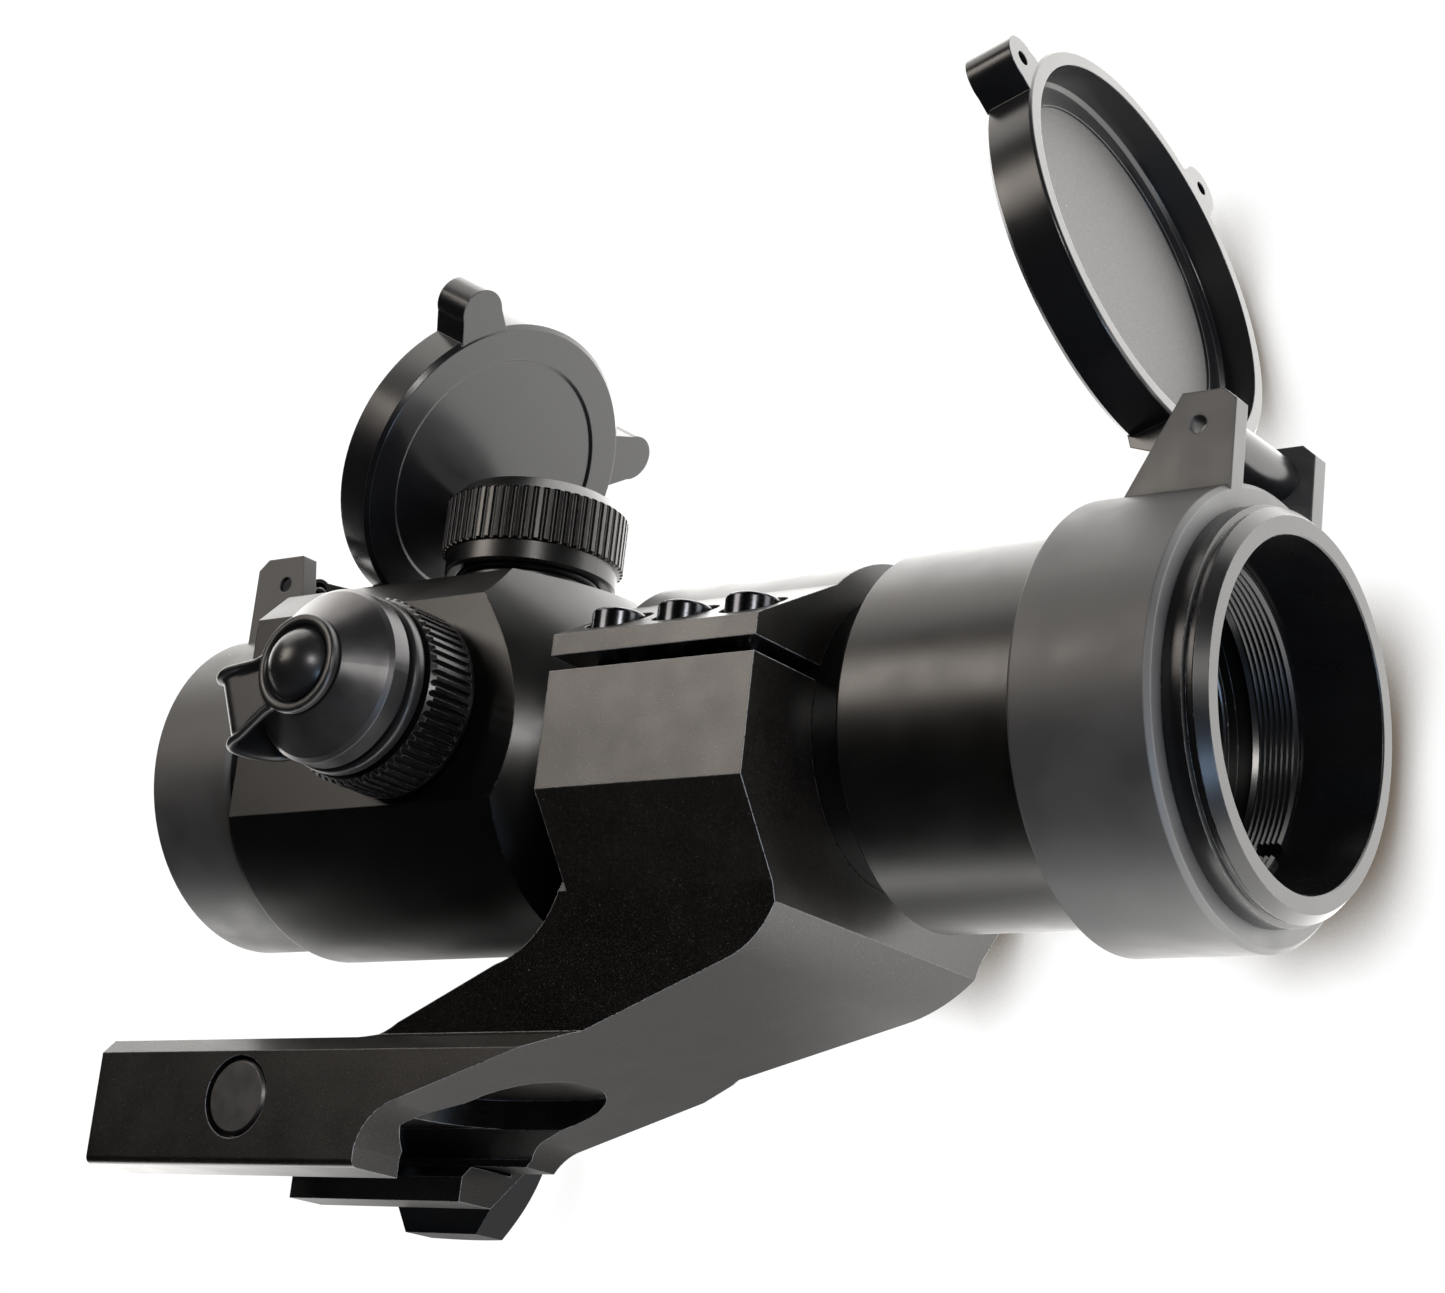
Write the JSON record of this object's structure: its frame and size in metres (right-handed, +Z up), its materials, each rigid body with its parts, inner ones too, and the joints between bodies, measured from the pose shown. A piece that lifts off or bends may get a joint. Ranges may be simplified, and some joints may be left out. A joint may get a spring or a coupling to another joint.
{
  "type": "red dot finder",
  "caption": "Black tube red dot finder with sprung flip covers, capped turrets, a battery knob with a rubber tether and a cantilever rail mount.",
  "frame": {"origin": "centre of the rail seat, on the flat roof of the rail channel", "axes": "+X forward along the optical axis, +Y to the left seen from behind, +Z up"},
  "size_m": [0.1367, 0.0699, 0.118],
  "materials": {
    "anodised_body": "satin black anodised",
    "anodised_bezel": "satin black anodised, turned",
    "anodised_bore": "matt black anodised, threaded",
    "anodised_mount": "bead-blasted black anodised with worn edges",
    "anodised_turret": "semi-gloss black anodised, knurled",
    "anodised_inner": "matt black anodised",
    "cover_plastic": "matt black moulded",
    "lid_plastic": "semi-gloss black moulded",
    "coated_glass": "polished with a dark blue coating",
    "blued_steel": "shiny blued steel",
    "scuffed_steel": "scuffed dark steel",
    "spring_steel": "bright drawn steel",
    "seal_rubber": "matt black rubber",
    "strap_rubber": "semi-gloss black rubber",
    "cell_steel": "bright nickel plated",
    "board": "green solder mask",
    "emitter_plastic": "clear red moulded"
  },
  "bodies": {
    "sight": {"main_tube": "anodised_body", "objective_bezel": "anodised_bezel", "objective_retaining_ring": "anodised_bore", "objective_baffle": "anodised_bore", "objective_lens": "coated_glass", "eyepiece_lens": "coated_glass", "eyepiece_retaining_ring": "anodised_bore", "bias_spring": "spring_steel", "elevation_collar": "anodised_turret", "elevation_seal": "seal_rubber", "windage_collar": "anodised_turret", "windage_seal": "seal_rubber", "knob_core": "anodised_inner", "switch_board": "board", "battery_spring": "spring_steel", "battery": "cell_steel", "front_cover_ring": "cover_plastic", "front_hinge_pin": "blued_steel", "front_hinge_spring": "spring_steel", "rear_cover_ring": "cover_plastic", "rear_hinge_pin": "blued_steel", "rear_hinge_spring": "spring_steel", "mount_base": "anodised_mount", "ring_cap": "anodised_mount", "ring_screws": "blued_steel", "clamp_bolt": "scuffed_steel", "gimbal_side_pins": "spring_steel"},
    "front_lid": {"front_lid": "lid_plastic"},
    "rear_lid": {"rear_lid": "lid_plastic"},
    "gimbal": {"gimbal_ring": "anodised_inner", "gimbal_top_pins": "spring_steel"},
    "aiming_tube": {"inner_tube": "anodised_inner", "reflector_lens": "coated_glass", "emitter_holder": "board", "emitter": "emitter_plastic"},
    "elevation_screw": {"elevation_screw": "spring_steel"},
    "windage_screw": {"windage_screw": "spring_steel"},
    "elevation_cap": {"elevation_cap": "anodised_turret"},
    "windage_cap": {"windage_cap": "anodised_turret"},
    "brightness_dial": {"brightness_dial": "anodised_turret"},
    "battery_cap": {"battery_cap": "anodised_turret", "cap_stud": "strap_rubber", "cap_strap": "strap_rubber"},
    "clamp_jaw": {"clamp_jaw": "anodised_mount"},
    "clamp_nut": {"clamp_nut": "blued_steel"}
  },
  "joints": [
    {"name": "close_front_lid", "type": "hinge", "parent": "sight", "child": "front_lid", "pos_m": [0.1124, 0, 0.0636], "axis": [0, 1, 0], "range_deg": [0, 197.5], "stiffness_Nm_per_rad": 0.0008, "springref_deg": -40.11},
    {"name": "close_rear_lid", "type": "hinge", "parent": "sight", "child": "rear_lid", "pos_m": [-0.0055, 0, 0.0597], "axis": [0, -1, 0], "range_deg": [0, 208], "stiffness_Nm_per_rad": 0.0006, "springref_deg": -40.11},
    {"name": "aim_elevation", "type": "hinge", "parent": "sight", "child": "gimbal", "pos_m": [0.0775, 0, 0.0373], "axis": [0, 1, 0], "range_deg": [-0.5, 0.5]},
    {"name": "aim_windage", "type": "hinge", "parent": "gimbal", "child": "aiming_tube", "pos_m": [0.0775, 0, 0.0373], "axis": [0, 0, 1], "range_deg": [-0.5, 0.5]},
    {"name": "turn_elevation", "type": "hinge", "parent": "sight", "child": "elevation_screw", "pos_m": [0.0236, 0, 0.0561], "axis": [0, 0, 1], "range_deg": [-180, 180]},
    {"name": "turn_windage", "type": "hinge", "parent": "sight", "child": "windage_screw", "pos_m": [0.0236, 0.018, 0.0373], "axis": [0, 1, 0], "range_deg": [-180, 180]},
    {"name": "turn_elevation_cap", "type": "hinge", "parent": "sight", "child": "elevation_cap", "pos_m": [0.0236, 0, 0.0673], "axis": [0, 0, 1], "range_deg": [0, 360]},
    {"name": "lift_windage_cap", "type": "slide", "parent": "sight", "child": "windage_cap", "axis": [0, 1, 0], "range_m": [0, 0.012]},
    {"name": "turn_dial", "type": "hinge", "parent": "sight", "child": "brightness_dial", "pos_m": [0.0255, -0.018, 0.0398], "axis": [0, -1, 0], "range_deg": [0, 300]},
    {"name": "pull_battery_cap", "type": "slide", "parent": "sight", "child": "battery_cap", "axis": [0, -1, 0], "range_m": [0, 0.012]},
    {"name": "open_jaw", "type": "slide", "parent": "sight", "child": "clamp_jaw", "axis": [0, 1, 0], "range_m": [0, 0.004]},
    {"name": "turn_nut", "type": "hinge", "parent": "clamp_jaw", "child": "clamp_nut", "pos_m": [0.0054, 0.022, -0.0007], "axis": [0, 1, 0], "range_deg": [0, 1800]}
  ],
  "couplings": [
    {"joint": "aim_elevation", "follows": "turn_elevation", "ratio": 0.00277},
    {"joint": "aim_windage", "follows": "turn_windage", "ratio": -0.00277},
    {"joint": "turn_nut", "follows": "open_jaw", "rad_per_m": 7850}
  ]
}
